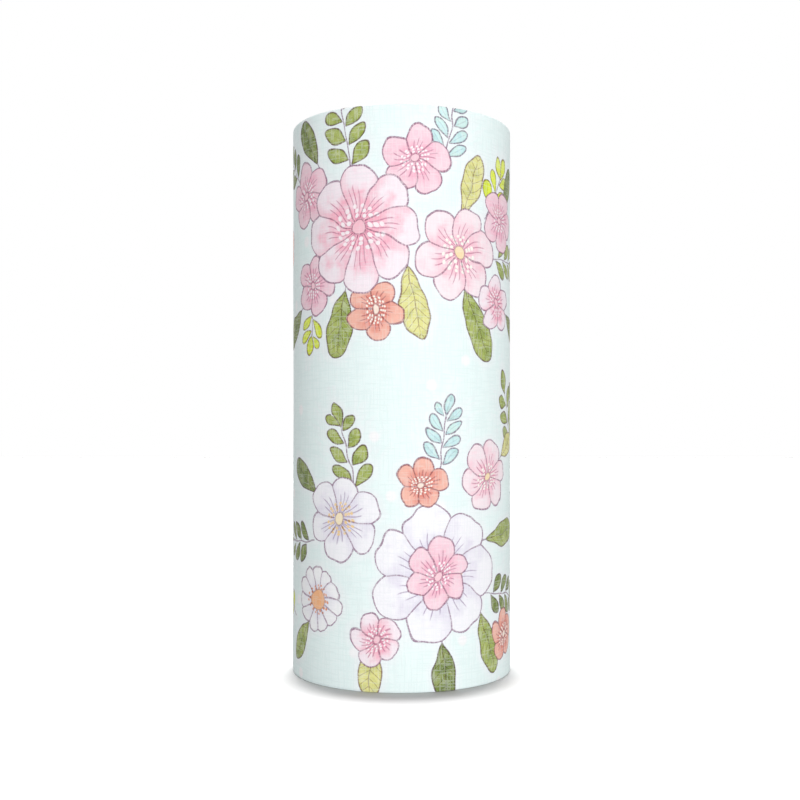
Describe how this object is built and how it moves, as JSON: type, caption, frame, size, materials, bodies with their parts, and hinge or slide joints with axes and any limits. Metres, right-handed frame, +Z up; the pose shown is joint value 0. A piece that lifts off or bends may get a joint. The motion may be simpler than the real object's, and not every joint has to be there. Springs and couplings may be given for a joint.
{
  "type": "folded and rolled muslin cloth",
  "caption": "Large square muslin cloth, folded lengthwise to a flat band and rolled to an upright cylinder with a spiral on each end.",
  "frame": {"origin": "on the surface that the roll stands on, under the middle of the roll", "axes": "+Z up along the roll, -Y towards the side that the picture shows, with the cloth's free end at the back, towards +Y"},
  "size_m": [0.0812, 0.0832, 0.2006],
  "materials": {
    "printed_muslin": "matt pale mint cotton gauze with a printed pattern of flowers and leaves"
  },
  "bodies": {
    "root": {"muslin_roll": "printed_muslin"}
  },
  "joints": []
}
